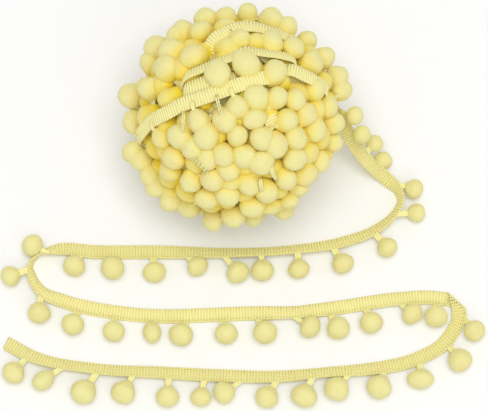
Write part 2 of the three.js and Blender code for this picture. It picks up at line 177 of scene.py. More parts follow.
STITCH = ((-0.5, 0.3), (-0.25, 0.95), (0.2, 1.0), (0.5, 0.4))  # along in rib pitches, share of full size
STITCH_SIDES = 5
STITCH_HALF_WIDTH = 0.00036
STITCH_HALF_DEPTH = 0.00027
STITCH_HEIGHT = 0.00043  # of its middle over the middle of the tape
STITCH_UNEVEN = 0.18
FOLD_RADIUS = 0.0009
FOLD_BEARING = math.radians(-42.4)
FOLD_RAMP = 0.007  # length of tape over which it swings round to lie along the crease
FOLD_STEPS = 8
SAMPLE = 0.0005  # spacing of the places worked out along the tape
LAY_ROUNDS = 60  # tries at where a point lies along the tape, each nearer than the last
TAPE_PALE = (0.95, 0.91, 0.42, 1)
TAPE_WARM = (0.93, 0.86, 0.40, 1)
TAPE_PAINTED_SHADE = (0.82, 0.72, 0.30, 1)  # painted shade, for where shade falls between its ribs and stitches
CLOTH_PAINTED_SHADE = 0.9  # how far the cloth between the ribs goes to that painted shade
RIB_TOP_PAINTED_SHADE = 0.7  # how far the ribs go to that painted shade on the face with the stitches, where they show between the wales
RIB_TOP = 0.0001  # that face of a rib is higher than this
TINT = 0.1  # how far one stem or pompom is shifted from the next between its yarn's two colours

# Its middle line: x, y and lift above lying on the table in millimetres, and roll in degrees, 0 with the
# fringed edge on the left, 90 with it straight up and 180 with it on the right.
ROUTE_OUT = np.array([
    (42.5, 8, 31, 78), (47.7, -2, 24, 30), (56, -11.3, 13, 5), (66.1, -18, 0.8, 22), (71.2, -23.4, 0, 58),
    (72.2, -27.6, 0, 68), (70.4, -32, 0, 62), (60.6, -41, 0, 43), (47.3, -46.1, 0, 36),
    (21.7, -50.1, 0, 46), (-6.6, -51.3, 0, 40), (-34.9, -50.7, 0, 10), (-62.7, -50.6, 0, 8),
    (-80.3, -49.8, 0, 36), (-87.2, -52, 0, 78), (-91.4, -57.4, 0, 104), (-90.7, -61.6, 0, 122),
    (-86.4, -68.4, 0, 142), (-76.5, -72.7, 0, 174), (-48.3, -78.3, 0, 178), (8, -78, 0, 174),
    (25.1, -77.7, 0, 155), (42.7, -75.7, 0, 176), (70.5, -71.7, 0, 168), (84, -71, 0, 178),
    (93.9, -71.9, 0, 180),
])
ROUTE_BACK = np.array([
    (96.6, -74.4, 1.8, 0), (97.1, -77.6, 1.5, 0), (96.6, -82, 0.2, 2), (94.5, -86, 0, 4),
    (89.3, -92.4, 0, 8), (78.6, -98.2, 0, 14), (56.5, -103, 0, 26), (42.4, -104.1, 0, 40),
    (14.9, -106.3, 0, 30), (-6.5, -105.8, 0, 22), (-34.4, -104.4, 0, 28), (-62, -102.8, 0, 38),
    (-90.1, -97.2, 0, 28), (-101.8, -91.2, 0, 0),
])
UP = np.array((0.0, 0.0, 1.0))
ASKEW = UP + 0.1  # no stem or turn of tape runs quite this way


def unit(vectors):
    return vectors / np.linalg.norm(vectors, axis=-1, keepdims=True)


def smooth_run(rows):
    """Places along a smooth run through the rows, whose slope at each row leans to its nearer neighbour."""
    along = np.concatenate(([0], np.cumsum(np.linalg.norm(np.diff(rows[:, :3], axis=0), axis=1))))
    span = np.diff(along)[:, None]
    rise = np.diff(rows, axis=0) / span
    inner = (rise[:-1] * span[1:] + rise[1:] * span[:-1]) / (span[1:] + span[:-1])
    slope = np.vstack((rise[:1], inner, rise[-1:]))
    count = round(along[-1] / SAMPLE)
    at = along[-1] * np.arange(count + 1) / count
    i = np.clip(np.searchsorted(along, at, side="right") - 1, 0, len(rows) - 2)
    t = (at[:, None] - along[i][:, None]) / span[i]
    return ((1 + 2 * t) * (1 - t) ** 2 * rows[i] + t * (1 - t) ** 2 * span[i] * slope[i]
            + t * t * (3 - 2 * t) * rows[i + 1] + t * t * (t - 1) * span[i] * slope[i + 1])


def tape_places(run):
    """For each place its middle, heading, way across to the fringed edge and way out of the face."""
    angle = np.radians(run[:, 3:])
    rest = (TAPE_WIDTH * np.abs(np.sin(angle)) + TAPE_THICKNESS * np.abs(np.cos(angle))) / 2
    middle = np.hstack((run[:, :2], np.maximum(run[:, 2:3], 0) + rest))
    ends = np.vstack((middle[:1], middle, middle[-1:]))
    heading = unit(ends[2:] - ends[:-2])
    left = unit(np.cross(UP, heading))
    top = np.cross(heading, left)
    side = np.cos(angle) * left + np.sin(angle) * top
    return {"middle": middle, "heading": heading, "side": side, "cross": side.copy(),
            "face": np.cos(angle) * top - np.sin(angle) * left}


crease = np.array((math.cos(FOLD_BEARING), math.sin(FOLD_BEARING), 0))
across_crease = np.cross(UP, crease)


def fold_after(run):
    """The places that roll the tape over the crease; `cross` runs along the crease there."""
    last = {key: rows[-1] for key, rows in run.items()}
    cotangent = 1 / math.tan(math.acos(last["heading"] @ crease))
    fold = {key: [] for key in run}
    for k in range(1, FOLD_STEPS):
        turn = math.pi * k / FOLD_STEPS
        spin = np.array(Matrix.Rotation(turn, 3, Vector(crease)))
        fold["middle"].append(last["middle"] + crease * FOLD_RADIUS * turn * cotangent
                              + across_crease * FOLD_RADIUS * math.sin(turn)
                              + UP * FOLD_RADIUS * (1 - math.cos(turn)))
        for key in ("heading", "side", "face"):
            fold[key].append(spin @ last[key])
        fold["cross"].append(crease / (crease @ fold["side"][-1]))
    return {key: np.array(rows) for key, rows in fold.items()}


def swing_to_crease(run, from_end):
    """Swings `cross` round to lie along the crease over the last stretch before the fold."""
    middle = run["middle"][::-1] if from_end else run["middle"]
    away = np.concatenate(([0], np.cumsum(np.linalg.norm(np.diff(middle, axis=0), axis=1))))
    if from_end:
        away = away[::-1]
    t = np.clip(1 - away / FOLD_RAMP, 0, 1)[:, None]
    share = t * t * (3 - 2 * t)
    lean = np.where(share > 0, run["side"] @ crease[:, None], 1)
    run["cross"] += share * (crease / lean - run["cross"])


outward = tape_places(smooth_run(ROUTE_OUT / (MM, MM, MM, 1)))
back = tape_places(smooth_run(ROUTE_BACK / (MM, MM, MM, 1)))
fold = fold_after(outward)
swing_to_crease(outward, from_end=True)
swing_to_crease(back, from_end=False)
ribbon = {key: np.vstack((outward[key], fold[key], back[key])) for key in outward}


def course_of(run):
    """A run of places as a course: the places, how far along each one is, and its lean across the cloth."""
    steps = np.linalg.norm(np.diff(run["middle"], axis=0), axis=1)
    return {**run, "at": np.concatenate(([0], np.cumsum(steps))),
            "lean": np.sum(run["cross"] * run["heading"], axis=1)}


def on_course(course, key, distances):
    return np.column_stack([np.interp(distances, course["at"], column) for column in course[key].T])


def laid(points, course):
    """Flat points, x across the tape, y along it and z out of its face, laid along a course."""
    across, along, out = points.T
    at = along.copy()
    for _ in range(LAY_ROUNDS):
        at = along - across * np.interp(at, course["at"], course["lean"])
    past = (at - np.clip(at, 0, course["at"][-1]))[:, None]
    return (on_course(course, "middle", at) + past * on_course(course, "heading", at)
            + across[:, None] * on_course(course, "cross", at)
            + out[:, None] * on_course(course, "face", at))


loose_course = course_of(ribbon)
TAPE_LENGTH = float(loose_course["at"][-1])


def skin_faces(rings, sides):
    """Faces of a skin round rings of points, numbered ring by ring, with a face over each end."""
    i, j = np.meshgrid(np.arange(rings - 1), np.arange(sides), indexing="ij")
    a, b = i * sides + j, i * sides + (j + 1) % sides
    faces = np.stack((a, a + sides, b + sides, b), axis=-1).reshape(-1, 4).tolist()
    last = (rings - 1) * sides
    return faces + [list(range(sides)), list(range(last, last + sides))[::-1]]


def cloth_shape(start, end, inner, outer):
    """The thin cloth between the ribs, flat."""
    along = np.linspace(start, end, 1 + round((end - start) / RIB_PITCH))
    corners = [(outer, -CLOTH_HALF), (inner, -CLOTH_HALF), (inner, CLOTH_HALF), (outer, CLOTH_HALF)]
    points = np.stack([np.column_stack((np.full(len(along), w), along, np.full(len(along), n)))
                       for w, n in corners], axis=1)
    return points.reshape(-1, 3), skin_faces(len(along), len(corners))


def rib_shape(inner, outer, rounded):
    """One rib as a bar across the tape, with its inner, outer or both ends rounded, or quite plain."""
    sides = PLAIN_RIB_SIDES if rounded == "plain" else RIB_SIDES
    turn = 2 * np.pi * np.arange(sides) / sides
    ring = np.column_stack((RIB_HALF * np.cos(turn), TAPE_THICKNESS / 2 * np.sin(turn)))
    low = RIB_END if rounded in ("inner", "both") else ((0.0, 1.0),)
    high = RIB_END if rounded in ("outer", "both") else ((0.0, 1.0),)
    longer = outer - inner > NARROW and rounded != "plain"
    between = np.linspace(inner, outer, RINGS_BETWEEN + 2)[1:-1] if longer else ()
    stations = ([(inner + d, k) for d, k in low] + [(x, 1.0) for x in between]
                + [(outer - d, k) for d, k in reversed(high)])
    points = np.vstack([np.column_stack((np.full(sides, x), k * ring)) for x, k in stations])
    return points, skin_faces(len(stations), sides)


def stitch_shape():
    """One chain stitch: a plump drop of yarn that lies along the tape over a rib."""
    turn = -2 * np.pi * np.arange(STITCH_SIDES) / STITCH_SIDES
    points = np.vstack([np.column_stack((
        STITCH_HALF_WIDTH * k * np.cos(turn), np.full(STITCH_SIDES, y * RIB_PITCH),
        STITCH_HEIGHT + STITCH_HALF_DEPTH * k * np.sin(turn),
    )) for y, k in STITCH])
    return points, skin_faces(len(STITCH), STITCH_SIDES)


def new_group(name, kind, inputs, outputs):
    """A node group with these named inputs and outputs, and what its inputs give."""
    group = bpy.data.node_groups.new(name, kind)
    for in_out, sockets in (("INPUT", inputs), ("OUTPUT", outputs)):
        for socket, sort in sockets.items():
            group.interface.new_socket(name=socket, in_out=in_out, socket_type="NodeSocket" + sort)
    return group, group.nodes.new("NodeGroupInput").outputs


def maths(tree, one, operation, other):
    return result(tree, "ShaderNodeMath", {0: one, 1: other}, operation=operation)


def vector(tree, x, y, z):
    return result(tree, "ShaderNodeCombineXYZ", {"X": x, "Y": y, "Z": z})


def any_number(tree, low, high, seed):
    """A number between two others, different for each copy."""
    return add(tree, "FunctionNodeRandomValue", {
        2: low, 3: high, "Seed": seed,
    }, data_type="FLOAT").outputs[1]


def end_tree(tree, copies, finish):
    """Ends a Geometry Nodes tree with its copies made real and given their material."""
    real = result(tree, "GeometryNodeRealizeInstances", {"Geometry": copies})
    finished = result(tree, "GeometryNodeSetMaterial", {"Geometry": real, "Material": finish})
    add(tree, "NodeGroupOutput", {"Geometry": finished})


def yarn_look():
    """Shader group for matt yarn: soft patches of two colours, fine fibres as colour and height, and a
    painted shade laid over them by its share.
    """
    # Two of its inputs carry a painted shade: its colour, and how far each point goes to it.
    group, given = new_group("yarn_look", "ShaderNodeTree", {
        "Pale": "Color", "Warm": "Color", "Painted Shade": "Color", "Patches": "Float", "Fibres": "Float",
        "Tint": "Float", "Depth": "Float",
    }, {"Color": "Color", "Height": "Float"})
    place = add(group, "ShaderNodeTexCoord").outputs["Object"]
    patches = result(group, "ShaderNodeTexNoise", {
        "Vector": place, "Scale": given["Patches"], "Detail": 2.0, "Roughness": 0.55,
    })
    tinted = maths(group, patches, "ADD", given["Tint"])
    share = result(group, "ShaderNodeMapRange", {
        "Value": tinted, "From Min": 0.35, "From Max": 0.75,
    }, clamp=True)
    colour = blend(group, share, given["Pale"], given["Warm"])
    fibres = result(group, "ShaderNodeTexNoise", {
        "Vector": place, "Scale": given["Fibres"], "Detail": 3.0, "Roughness": 0.7,
    })
    shade = result(group, "ShaderNodeMapRange", {
        "Value": fibres, "From Min": 0.3, "From Max": 0.7, "To Min": 0.93, "To Max": 1.03,
    }, clamp=True)
    shaded = blend(group, 1.0, colour, shade, blend_type="MULTIPLY")
    # painted shade: the colour goes towards the painted shade colour as far as its share says
    shade_painted = blend(group, given["Depth"], shaded, given["Painted Shade"])
    add(group, "NodeGroupOutput", {"Color": shade_painted, "Height": fibres})
    return group


YARN_LOOK = yarn_look()


def yarn_finish(name, pale, warm, deep, patches, fibres, bump, sheen):
    """A matt yarn: `tint` on the mesh shifts it between its colours, and the painted shade on the mesh takes
    it to the painted shade colour.
    """
    material = empty_material(name)
    tree = material.node_tree
    tint = add(tree, "ShaderNodeAttribute", attribute_name="tint").outputs["Fac"]
    # how far each point goes to the painted shade, as marked on the mesh
    painted_shade = add(tree, "ShaderNodeAttribute", attribute_name="painted_shade").outputs["Fac"]
    look = tree.nodes.new("ShaderNodeGroup")
    look.node_tree = YARN_LOOK
    fill(tree, look, {"Pale": pale, "Warm": warm, "Painted Shade": deep, "Patches": patches, "Fibres": fibres,
                      "Tint": tint, "Depth": painted_shade})
    bumped = result(tree, "ShaderNodeBump", {
        "Height": look.outputs["Height"], "Strength": 0.5, "Distance": bump,
    })
    return put_out(material, {
        "Base Color": look.outputs["Color"], "Roughness": 0.92, "Specular IOR Level": 0.12,
        "Sheen Weight": sheen, "Sheen Roughness": 0.6, "Normal": bumped,
    })


def row_tree():
    """Geometry Nodes tree: a row of copies of a shape along y, a little uneven in turn and in size."""
    tree, given = new_group("row_of_copies", "GeometryNodeTree", {
        "Shape": "Object", "Count": "Int", "Start": "Vector", "Pitch": "Float", "Unevenness": "Float",
        "Seed": "Int", "Finish": "Material",
    }, {"Geometry": "Geometry"})
    step = vector(tree, 0.0, given["Pitch"], 0.0)
    line = result(tree, "GeometryNodeMeshLine", {
        "Count": given["Count"], "Start Location": given["Start"], "Offset": step,
    })
    shape = add(tree, "GeometryNodeObjectInfo", {"Object": given["Shape"]}).outputs["Geometry"]
    least = maths(tree, 0.0, "SUBTRACT", given["Unevenness"])
    swing = any_number(tree, least, given["Unevenness"], given["Seed"])
    turn = vector(tree, 0.0, 0.0, swing)
    swell = any_number(tree, least, 0.0, given["Seed"])
    size = maths(tree, 1.0, "ADD", swell)
    scale = vector(tree, 1.0, size, size)
    copies = result(tree, "GeometryNodeInstanceOnPoints", {
        "Points": line, "Instance": shape, "Rotation": turn, "Scale": scale,
    })
    end_tree(tree, copies, given["Finish"])
    return tree


ROW_OF_COPIES = row_tree()


def worked_out(name, tree, **inputs):
    """The plain object that a tree makes with these inputs."""
    thing = mesh_object(name, [], [], None)
    modifier = thing.modifiers.new(name, "NODES")
    modifier.node_group = tree
    for item in tree.interface.items_tree:
        if item.in_out == "INPUT" and item.name in inputs:
            modifier[item.identifier] = inputs[item.name]
    bpy.context.view_layer.update()
    mesh = bpy.data.meshes.new_from_object(thing.evaluated_get(bpy.context.evaluated_depsgraph_get()))
    thing.modifiers.clear()
    thing.data = mesh
    mesh.name = name
    return thing


def points_of(thing):
    points = np.empty(3 * len(thing.data.vertices))
    thing.data.vertices.foreach_get("co", points)
    return points.reshape(-1, 3)


def move_points(thing, points):
    thing.data.vertices.foreach_set("co", np.ravel(points))
    thing.data.update()


def mark(thing, name, values):
    """Gives each point of an object its value of a named attribute."""
    attribute = thing.data.attributes.new(name, "FLOAT", "POINT")
    attribute.data.foreach_set("value", np.broadcast_to(values, len(thing.data.vertices)).astype(float))


def joined(name, things):
    """One object of several, under a new name."""
    with bpy.context.temp_override(active_object=things[0], selected_editable_objects=things):
        bpy.ops.object.join()
    things[0].name = name
    things[0].data.name = name
    return things[0]


TAPE_FINISH = yarn_finish("woven_tape", TAPE_PALE, TAPE_WARM, TAPE_PAINTED_SHADE, patches=90.0, fibres=2600.0,
                          bump=0.00012, sheen=0.1)


def ribbed_tape(name, course, start, end, inner, outer, rounded, wales):
    """Ribbed tape between two lines along it, made flat and then laid along its course."""
    cloth = mesh_object(name, *cloth_shape(start, end, inner, outer), TAPE_FINISH)
    # painted shade all over the cloth between the ribs
    mark(cloth, "painted_shade", CLOTH_PAINTED_SHADE)
    first = math.ceil(start / RIB_PITCH - 0.5) + 0.5
    count = math.floor(end / RIB_PITCH - first) + 1
    pieces = [cloth]
    rows = [("rib", rib_shape(inner, outer, rounded), 0.0, RIB_UNEVEN)]
    rows += [("stitch", stitch_shape(), w, STITCH_UNEVEN) for w in wales]
    for seed, (kind, (points, faces), across, uneven) in enumerate(rows):
        shape = mesh_object(kind, points, faces, TAPE_FINISH)
        # painted shade on the tops of the ribs on the face with the stitches, where they show between the
        # wales
        if wales and kind == "rib":
            mark(shape, "painted_shade", np.where(points[:, 2] > RIB_TOP, RIB_TOP_PAINTED_SHADE, 0))
        pieces.append(worked_out(
            f"{name}_{kind}", ROW_OF_COPIES, Shape=shape, Count=count, Pitch=RIB_PITCH,
            Start=(across, first * RIB_PITCH, 0.0), Unevenness=uneven, Seed=seed, Finish=TAPE_FINISH))
        bpy.data.objects.remove(shape)
    tape = joined(name, pieces)
    move_points(tape, laid(points_of(tape), course))
    return tape


tape = ribbed_tape("tape_loose", loose_course, 0, TAPE_LENGTH, -TAPE_WIDTH / 2, STRIP_INSIDE - PARTING / 2,
                   "inner", WALES)
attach(tape, "root")
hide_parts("tape")

# ---- The loose fringe ----------------------------------------------------------------------------
# The outermost cords of the tape carry the pompoms. Each pompom is a ball of soft pile that hangs from four
# twisted threads, and lies on the table but for the first few, which hang beside the ball. In millimetres,
# lengths along the tape are from the ball, and `ahead` and `left` from a pompom's root to its middle.
FRINGE = [
    {"name": "from_ball", "start": 2, "end": 88, "first": 4, "pitch": 12.6,
     "ahead": (5, 3.5, 0, 0, 5, -5.5, -1.5), "left": (4.5, 3.5, 7.5, 5.5, 5.5, 7.5, 9.5),
     "size": (8.4, 8, 8.2, 8.2, 9, 8.5, 9.4), "hangs": (37, 31, 14)},
    {"name": "run_1", "start": 88.3, "end": 214, "first": 98.5, "pitch": 15.9,
     "ahead": (-2.3, 0.2, -0.3, -5.3, -3.8, -0.8, 1.7, 1.7), "left": (9.5, 9, 8.5, 9, 6.5, 9.5, 7.5, 7.7),
     "size": (10.1, 9.7, 10.2, 10.2, 10.2, 9.9, 10.8, 10.4)},
    {"name": "left_turn", "start": 214.3, "end": 257, "first": 224.9, "pitch": 12.1,
     "ahead": (5.4, 1.7, 4), "left": (-3.7, -8.6, -8.2), "size": (10.2, 9.3, 10)},
    {"name": "run_2", "start": 257.3, "end": 427.5, "first": 266, "pitch": 15.8,
     "ahead": (-0.2, 1, 1.2, -2.2, 1.3, 2.8, 6.2, 2.3, 0.8, 4, 0.3),
     "left": (-9, -8.8, -7.6, -8.8, -9, -9, -7.3, -9.3, -9, -7.5, -8.8),
     "size": (10.4, 10, 9, 10.6, 10.4, 10.8, 11, 10.3, 10.3, 9.6, 10.5)},
    {"name": "right_turn", "start": 427.8, "end": 461, "first": 441, "pitch": 13,
     "ahead": (5.3, 1.8), "left": (7.2, 10.1), "size": (9.8, 10.8)},
    {"name": "run_3", "start": 461.3, "end": 651, "first": 468, "pitch": 15.66,
     "ahead": (2.7, 3.2, 5.3, 4.4, 4.4, 6.6, 1.1, -0.2, 3.4, 4.3, 6, 1.8),
     "left": (9, 8.5, 8, 9.5, 9, 7.5, 10, 10.5, 9.5, 11, 8.5, 10),
     "size": (10.4, 11.2, 11.2, 11.2, 10.6, 10.2, 9.2, 10.2, 11, 11.4, 10, 10.2)},
]
# Pompoms pressed well out of round: the row, which one in it, and its size across and along its stem, in mm.
PRESSED = [
    {"row": "run_1", "which": 4, "across": 9.4, "along": 8},
    {"row": "run_1", "which": 7, "across": 10.3, "along": 8.6},
    {"row": "run_2", "which": 2, "across": 8.4, "along": 10.2},
    {"row": "run_2", "which": 6, "across": 10.4, "along": 8.3},
    {"row": "run_3", "which": 0, "across": 12, "along": 8.2},
    {"row": "run_3", "which": 10, "across": 8.2, "along": 10.6},
]
PILE_PALE = (0.87, 0.82, 0.365, 1)
PILE_WARM = (0.875, 0.78, 0.34, 1)
PILE_PAINTED_SHADE = (0.91, 0.7, 0.035, 1)  # painted golden shade: the colour that light takes on deep in the ball, painted into the pile
PILE_SHAPES = 7  # how many different balls of pile there are, each turned every way
PILE_DETAIL = 4
PILE_FACES = 20 * 4 ** (PILE_DETAIL - 1)  # of the ball itself; the rest are its fibres'
PILE_RADIUS = 0.485  # of the ball under the fibres, of a pompom one across
PILE_AREA = math.pi  # of a ball one across
PILE_LUMPS = 0.34
PILE_LUMP_SCALE = 1.7
LUMP_SHIFT = 7.3  # how far apart the lumps of two shapes are taken
FIBRE_COUNT = 150
FEW_FIBRES = 60  # for the pompoms that hardly show
FIBRE_LENGTH = 0.075
FIBRE_HALF = 0.008
FIBRE_LEAN = 1.15  # in radians either way, from straight out
FIBRE_SPIN = 3.0
ANY_TURN = 6.28
PEAR = 0.16  # how much a pompom narrows towards its stem
PEAR_REACH = 0.12
SQUAT = 0.91  # its size along its stem, as a share of its size across
ACROSS_UNEVEN = (0.98, 1.03)
ALONG_UNEVEN = (0.96, 1.04)
SETTLE = 0.0003  # its middle is this much further from its stem than the rows say
PRESS_DEPTH = 0.0003  # of the layer that all is pressed into at the table
THREADS = (-0.001, -0.00035, 0.00035, 0.001)  # where a stem's threads leave the tape
THREAD_GATHER = 0.65  # how far apart they are in the pompom, as a share of that
THREAD_DEPTH = 0.5  # how far into the pompom they run, as a share of its half size
THREAD_HALF = (0.0005, 0.00044)  # its two strands make it an oval
THREAD_LAY = 0.0052  # length of one twist
THREAD_SIDES = 7
THREAD_RINGS = 9
THREAD_NUDGE = 0.01  # enough to tell an upright thread's two sides apart
BOW_APART = 0.12  # how much further apart the threads bow, as a share of where they leave
BOW_ASIDE = 0.0002
BOW_UP = 0.0001

PILE_FINISH = yarn_finish("pompom_pile", PILE_PALE, PILE_WARM, PILE_PAINTED_SHADE, patches=150.0, fibres=2400.0,
                          bump=0.0003, sheen=0.12)


def pile_tree():
    """Geometry Nodes tree: a lumpy ball of pile, one across, with short fibres standing out all over it."""
    tree, given = new_group("ball_of_pile", "GeometryNodeTree", {
        "Detail": "Int", "Lumps": "Float", "Fibres": "Int", "Length": "Float", "Half": "Float",
        "Lean": "Float", "Seed": "Int", "Finish": "Material",
    }, {"Geometry": "Geometry"})
    ball = result(tree, "GeometryNodeMeshIcoSphere", {
        "Radius": PILE_RADIUS, "Subdivisions": given["Detail"],
    })
    place = result(tree, "GeometryNodeInputPosition")
    shift = maths(tree, given["Seed"], "MULTIPLY", LUMP_SHIFT)
    noise = result(tree, "ShaderNodeTexNoise", {
        "Vector": place, "W": shift, "Scale": PILE_LUMP_SCALE, "Detail": 2.0, "Roughness": 0.45,
    }, noise_dimensions="4D")
    centred = maths(tree, noise, "SUBTRACT", 0.5)
    height = maths(tree, centred, "MULTIPLY", given["Lumps"])
    swell = result(tree, "ShaderNodeVectorMath", {0: place, "Scale": height}, operation="SCALE")
    lumpy = result(tree, "GeometryNodeSetPosition", {"Geometry": ball, "Offset": swell})
    density = maths(tree, given["Fibres"], "DIVIDE", PILE_AREA)
    roots = add(tree, "GeometryNodeDistributePointsOnFaces", {
        "Mesh": lumpy, "Density": density, "Seed": given["Seed"],
    }, distribute_method="RANDOM")
    fibre = add(tree, "GeometryNodeMeshCone", {
        "Vertices": 3, "Radius Top": 0.0, "Radius Bottom": given["Half"], "Depth": given["Length"],
    }, fill_type="NGON").outputs["Mesh"]
    least = maths(tree, 0.0, "SUBTRACT", given["Lean"])
    low = vector(tree, least, least, -FIBRE_SPIN)
    high = vector(tree, given["Lean"], given["Lean"], FIBRE_SPIN)
    lean = result(tree, "FunctionNodeRandomValue", {0: low, 1: high, "Seed": given["Seed"]},
                  data_type="FLOAT_VECTOR")
    out = result(tree, "GeometryNodeInstanceOnPoints", {
        "Points": roots.outputs["Points"], "Instance": fibre, "Rotation": roots.outputs["Rotation"],
    })
    leant = result(tree, "GeometryNodeRotateInstances", {"Instances": out, "Rotation": lean})
    both = add(tree, "GeometryNodeJoinGeometry", {"Geometry": lumpy})
    tree.links.new(leant, both.inputs["Geometry"])
    end_tree(tree, both.outputs[0], given["Finish"])
    return tree


PILE = pile_tree()


def faces_of(thing):
    corners = np.empty(len(thing.data.loops), dtype=int)
    thing.data.loops.foreach_get("vertex_index", corners)
    return corners.reshape(-1, 3).tolist()


def pile_shapes(detail, fibres, count):
    """Balls of pile one across, as points and three-cornered faces."""
    shapes = []
    for seed in range(count):
        ball = worked_out("ball_of_pile", PILE, Detail=detail, Lumps=PILE_LUMPS, Fibres=fibres, Seed=seed,
                          Length=FIBRE_LENGTH, Half=FIBRE_HALF, Lean=FIBRE_LEAN, Finish=PILE_FINISH)
        shapes.append((points_of(ball), faces_of(ball)))
        bpy.data.objects.remove(ball)
    return shapes


FULL_PILE = pile_shapes(PILE_DETAIL, FIBRE_COUNT, PILE_SHAPES)
THIN_PILE = pile_shapes(PILE_DETAIL, FEW_FIBRES, PILE_SHAPES)


def any_way_off(direction, dice):
    """Some direction square to another."""
    square = Vector(np.cross(direction, ASKEW)).normalized()
    return np.array(Matrix.Rotation(dice.uniform(0, ANY_TURN), 3, Vector(direction)) @ square)


def rested(heights):
    """Heights with all that is at the table or lower pressed into a thin layer just over it."""
    low = np.minimum(heights, PRESS_DEPTH)
    return np.where(heights < PRESS_DEPTH, PRESS_DEPTH * np.exp(low / PRESS_DEPTH - 1), heights)


def pompom(shapes, dice, middle, stem, out, across, along, deep):
    """Points and faces of one pompom: `stem` is the way to its stem, `out` the way its size `deep` is taken.
    """
    points, faces = shapes[dice.randrange(len(shapes))]
    spin = (Matrix.Rotation(dice.uniform(0, ANY_TURN), 3, "Z")
            @ Matrix.Rotation(dice.uniform(0, ANY_TURN), 3, "X"))
    points = points @ np.array(spin).T
    near = np.clip(points[:, 2:] * 2, 0, 1)
    points = np.hstack((points[:, :2] * (1 - PEAR * near ** 2), points[:, 2:] + PEAR_REACH / 2 * near ** 3))
    stem = unit(stem)
    aside = unit(np.cross(out, stem))
    points = middle + points @ np.stack((aside * across, np.cross(stem, aside) * deep, stem * along))
    points[:, 2] = rested(points[:, 2])
    return points, faces


def mesh_of(name, parts, tints, material, smooth_faces=None):
    """One object of several parts, each with its own tint, and smooth in all or its first so many faces."""
    starts = np.cumsum([0] + [len(points) for points, _ in parts])
    verts = np.vstack([points for points, _ in parts])
    faces = [[start + corner for corner in face] for (_, part), start in zip(parts, starts.tolist())
             for face in part]
    made = mesh_object(name, verts, faces, material)
    mark(made, "tint", np.repeat(tints, [len(points) for points, _ in parts]))
    if smooth_faces:
        smooth = np.concatenate([np.arange(len(part)) < smooth_faces for _, part in parts])
        made.data.polygons.foreach_set("use_smooth", smooth)
    return made


def thread(start, end, sag):
    """A twisted thread from one point to another that bows by `sag`."""
    t = np.linspace(0, 1, THREAD_RINGS)[:, None]
    line = start + (end - start) * t + sag * 4 * t * (1 - t)
    axis = unit(end - start)
    one = unit(np.cross(axis, UP + THREAD_NUDGE * axis[[1, 2, 0]]))
    two = np.cross(axis, one)
    twist = 2 * np.pi * np.linalg.norm(end - start) * t / THREAD_LAY
    turn = -2 * np.pi * np.arange(THREAD_SIDES) / THREAD_SIDES
    a, b = THREAD_HALF[0] * np.cos(turn), THREAD_HALF[1] * np.sin(turn)
    x = a * np.cos(twist) - b * np.sin(twist)
    y = a * np.sin(twist) + b * np.cos(twist)
    rings = line[:, None] + x[..., None] * one + y[..., None] * two
    rings[..., 2] = rested(rings[..., 2])
    return rings.reshape(-1, 3), skin_faces(THREAD_RINGS, THREAD_SIDES)


for row in FRINGE:
    dice = random.Random(row["name"])
    pressed = {odd["which"]: odd for odd in PRESSED if odd["row"] == row["name"]}
    hangs = row.get("hangs", ())
    edge = ribbed_tape(f"edge_{row['name']}", loose_course, row["start"] / MM, row["end"] / MM,
                       STRIP_INSIDE + PARTING / 2, TAPE_WIDTH / 2, "outer", (EDGE_WALE,))
    stems, pompoms = [], []
    for k, size in enumerate(np.array(row["size"]) / MM):
        at = row["first"] / MM + row["pitch"] / MM * k
        root = {key: on_course(loose_course, key, [at])[0] for key in ("middle", "heading", "cross")}
        ahead = unit(root["heading"] * (1, 1, 0))
        middle = root["middle"] + ahead * row["ahead"][k] / MM + np.cross(UP, ahead) * row["left"][k] / MM
        middle[2] = hangs[k] / MM if k < len(hangs) else size / 2
        hold = root["middle"] + root["cross"] * (TAPE_WIDTH / 2 - EDGE_STRIP / 2)
        stem = unit(hold - middle)
        across = size * dice.uniform(*ACROSS_UNEVEN)
        along = size * SQUAT * dice.uniform(*ALONG_UNEVEN)
        if k in pressed:
            across, along = pressed[k]["across"] / MM, pressed[k]["along"] / MM
        middle -= stem * SETTLE
        pompoms.append(pompom(FULL_PILE, dice, middle, stem, UP, across, along, size))
        into = middle + stem * along / 2 * THREAD_DEPTH
        sideways = unit(np.cross(np.cross(stem, root["heading"]), stem))
        for aside in THREADS:
            start = hold + root["heading"] * aside
            end = into + sideways * aside * THREAD_GATHER
            bow = sideways * dice.uniform(-BOW_ASIDE, BOW_ASIDE) + sideways * aside * BOW_APART + UP * BOW_UP
            stems.append(thread(start, end, bow))
    stems = mesh_of("stems", stems, [dice.uniform(-TINT, TINT) for _ in stems], TAPE_FINISH)
    edge = joined(f"edge_{row['name']}", [edge, stems])
    pile = mesh_of(f"pompoms_{row['name']}", pompoms, [dice.uniform(-TINT, TINT) for _ in pompoms],
                   PILE_FINISH, smooth_faces=PILE_FACES)
    for piece, slot in ((edge, "woven_tape"), (pile, "pompom_pile")):
        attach(piece, "root")
        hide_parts(f"fringe_{row['name']}")

# ---- The ball ------------------------------------------------------------------------------------
# The rest of the fringe wound into a ball: a core of tape turns with pompoms caught between them, a close
# cover of pompoms outside, and the last turns of tape over them. Places seen from over the crown are given
# to the east and to the north of it, in millimetres from the ball's middle.
BALL_HEIGHT = 0.0455  # of its middle over the table
CROWN_TIP = math.radians(14)  # the crown leans this far to the front

